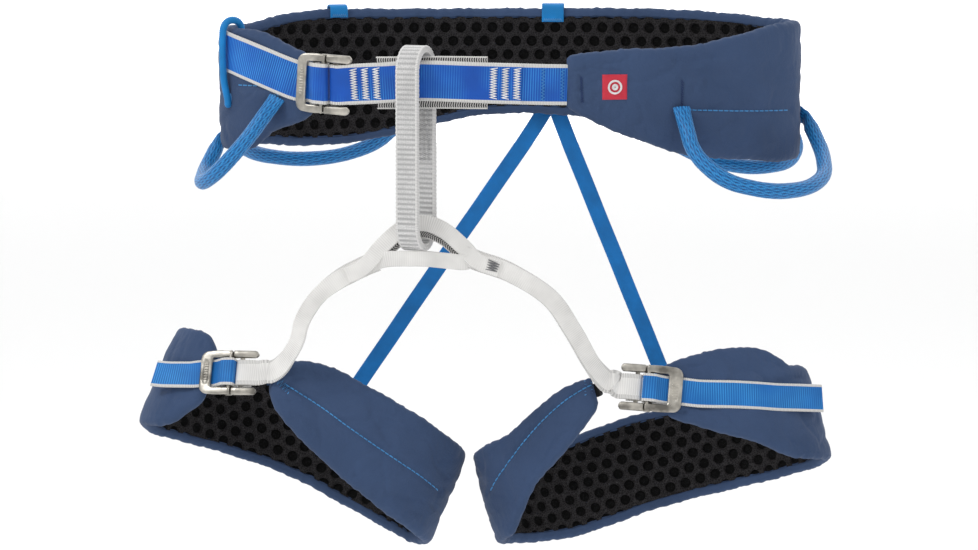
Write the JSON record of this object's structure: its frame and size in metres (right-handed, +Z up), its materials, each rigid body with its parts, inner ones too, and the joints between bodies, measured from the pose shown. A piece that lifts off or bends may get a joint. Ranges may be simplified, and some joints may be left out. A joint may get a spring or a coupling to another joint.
{
  "type": "climbing harness",
  "caption": "Sit harness with padded waist belt, adjustable leg loops, belay loop, tie-in points, elastic risers, gear loops and lifting buckles.",
  "frame": {"origin": "centre of the waist ring at mid height", "axes": "+Z up through the waist ring, -Y towards the front of the harness, +X to the right seen from the front"},
  "size_m": [0.4969, 0.2108, 0.3913],
  "materials": {
    "slate_fabric": "woven, matt",
    "black_mesh": "spacer mesh",
    "black_foam": "closed-cell foam",
    "blue_webbing": "flat woven webbing with white edges",
    "white_webbing": "flat woven webbing",
    "grey_webbing": "speckled woven webbing",
    "hatched_liner": "black and white herringbone weave",
    "riser_blue": "elastic webbing",
    "bright_cord": "braided sheath",
    "cord_core": "stiff tube",
    "cyan_elastic": "elastic tape",
    "white_thread": "bonded thread",
    "satin_metal": "satin forged",
    "red_label": null,
    "black_tape": "woven tape"
  },
  "bodies": {
    "waistbelt": {"bridge_bartacks": "white_thread", "bridge_lower_band": "white_webbing", "bridge_upper_band": "white_webbing", "bridge_upper_liner": "hatched_liner", "gear_loop_patches": "slate_fabric", "haul_loop_bar": "cyan_elastic", "haul_loop_tab": "cyan_elastic", "leg_left_riser": "riser_blue", "leg_left_strap": "white_webbing", "leg_right_riser": "riser_blue", "leg_right_strap": "white_webbing", "rim_keeper": "cyan_elastic", "riser_anchor": "riser_blue", "side_label": "red_label", "tail_keeper": "cyan_elastic", "upper_tie_in_sleeve": "hatched_liner", "upper_tie_in_webbing": "blue_webbing", "waist_bartacks": "white_thread", "waist_buckle_plate": "satin_metal", "waist_front_webbing": "blue_webbing", "waist_tail_webbing": "blue_webbing", "waistbelt_core_webbing": "blue_webbing", "waistbelt_foam": "black_foam", "waistbelt_lining": "black_mesh", "waistbelt_shell": "slate_fabric"},
    "belay_loop": {"belay_loop": "grey_webbing", "belay_loop_bartack": "white_thread"},
    "waist_buckle": {"waist_buckle_frame": "satin_metal"},
    "leg_left_buckle": {"leg_left_buckle_frame": "satin_metal"},
    "leg_right_buckle": {"leg_right_buckle_frame": "satin_metal"},
    "haul_loop": {"haul_loop": "cyan_elastic"},
    "leg_left": {"leg_left_buckle_plate": "satin_metal", "leg_left_core_webbing": "blue_webbing", "leg_left_foam": "black_foam", "leg_left_lining": "black_mesh", "leg_left_riser_tab": "riser_blue", "leg_left_shell": "slate_fabric", "leg_left_strap_end": "white_webbing", "leg_left_tail_webbing": "blue_webbing", "leg_left_tip_loop": "black_tape"},
    "leg_right": {"leg_right_buckle_plate": "satin_metal", "leg_right_core_webbing": "blue_webbing", "leg_right_foam": "black_foam", "leg_right_lining": "black_mesh", "leg_right_riser_tab": "riser_blue", "leg_right_shell": "slate_fabric", "leg_right_strap_end": "white_webbing", "leg_right_tail_webbing": "blue_webbing", "leg_right_tip_loop": "black_tape"},
    "gear_loop_front_left": {"gear_loop_front_left_core": "cord_core", "gear_loop_front_left_sheath": "bright_cord"},
    "gear_loop_front_right": {"gear_loop_front_right_core": "cord_core", "gear_loop_front_right_sheath": "bright_cord"},
    "gear_loop_rear_left": {"gear_loop_rear_left_core": "cord_core", "gear_loop_rear_left_sheath": "bright_cord"},
    "gear_loop_rear_right": {"gear_loop_rear_right_core": "cord_core", "gear_loop_rear_right_sheath": "bright_cord"}
  },
  "joints": [
    {"name": "belay_loop_twist", "type": "hinge", "parent": "waistbelt", "child": "belay_loop", "pos_m": [-0.065, -0.073, -0.034], "axis": [0, 0, 1], "range_deg": [0, 12]},
    {"name": "waist_buckle_lift", "type": "hinge", "parent": "waistbelt", "child": "waist_buckle", "pos_m": [-0.12969, -0.06436, 0.00901], "axis": [0.0618, -0.0207, 0.9979], "range_deg": [0, 28]},
    {"name": "leg_left_buckle_lift", "type": "hinge", "parent": "leg_left", "child": "leg_left_buckle", "pos_m": [-0.19694, -0.04906, -0.19464], "axis": [0.0649, 0.4412, 0.8951], "range_deg": [0, 28]},
    {"name": "leg_right_buckle_lift", "type": "hinge", "parent": "leg_right", "child": "leg_right_buckle", "pos_m": [0.09634, -0.05204, -0.20524], "axis": [-0.0899, -0.3476, -0.9333], "range_deg": [0, 28]},
    {"name": "leg_left_swing", "type": "hinge", "parent": "waistbelt", "child": "leg_left", "pos_m": [-0.171, -0.0525, -0.1935], "axis": [1, 0, 0], "range_deg": [0, 25], "deforming": ["leg_left_riser"]},
    {"name": "leg_right_swing", "type": "hinge", "parent": "waistbelt", "child": "leg_right", "pos_m": [0.0725, -0.05, -0.2015], "axis": [1, 0, 0], "range_deg": [0, 25], "deforming": ["leg_right_riser"]},
    {"name": "gear_loop_front_right_flex", "type": "hinge", "parent": "waistbelt", "child": "gear_loop_front_right", "pos_m": [0.11878, -0.07077, -0.014], "axis": [-0.7652, -0.6404, 0.0661], "range_deg": [0, 35], "stiffness_Nm_per_rad": 0.3},
    {"name": "gear_loop_front_left_flex", "type": "hinge", "parent": "waistbelt", "child": "gear_loop_front_left", "pos_m": [-0.1661, -0.05352, -0.008], "axis": [-0.4653, 0.8172, -0.3401], "range_deg": [0, 35], "stiffness_Nm_per_rad": 0.3},
    {"name": "gear_loop_rear_right_flex", "type": "hinge", "parent": "waistbelt", "child": "gear_loop_rear_right", "pos_m": [0.19585, 0.0333, -0.022], "axis": [0.9166, -0.3993, -0.019], "range_deg": [0, 35], "stiffness_Nm_per_rad": 0.3},
    {"name": "gear_loop_rear_left_flex", "type": "hinge", "parent": "waistbelt", "child": "gear_loop_rear_left", "pos_m": [-0.18611, 0.0415, -0.022], "axis": [0.9459, 0.3245, 0], "range_deg": [0, 35], "stiffness_Nm_per_rad": 0.3},
    {"name": "haul_loop_swing", "type": "hinge", "parent": "waistbelt", "child": "haul_loop", "pos_m": [0.032, 0.0855, 0.038], "axis": [1, 0, 0], "range_deg": [0, 75]}
  ]
}
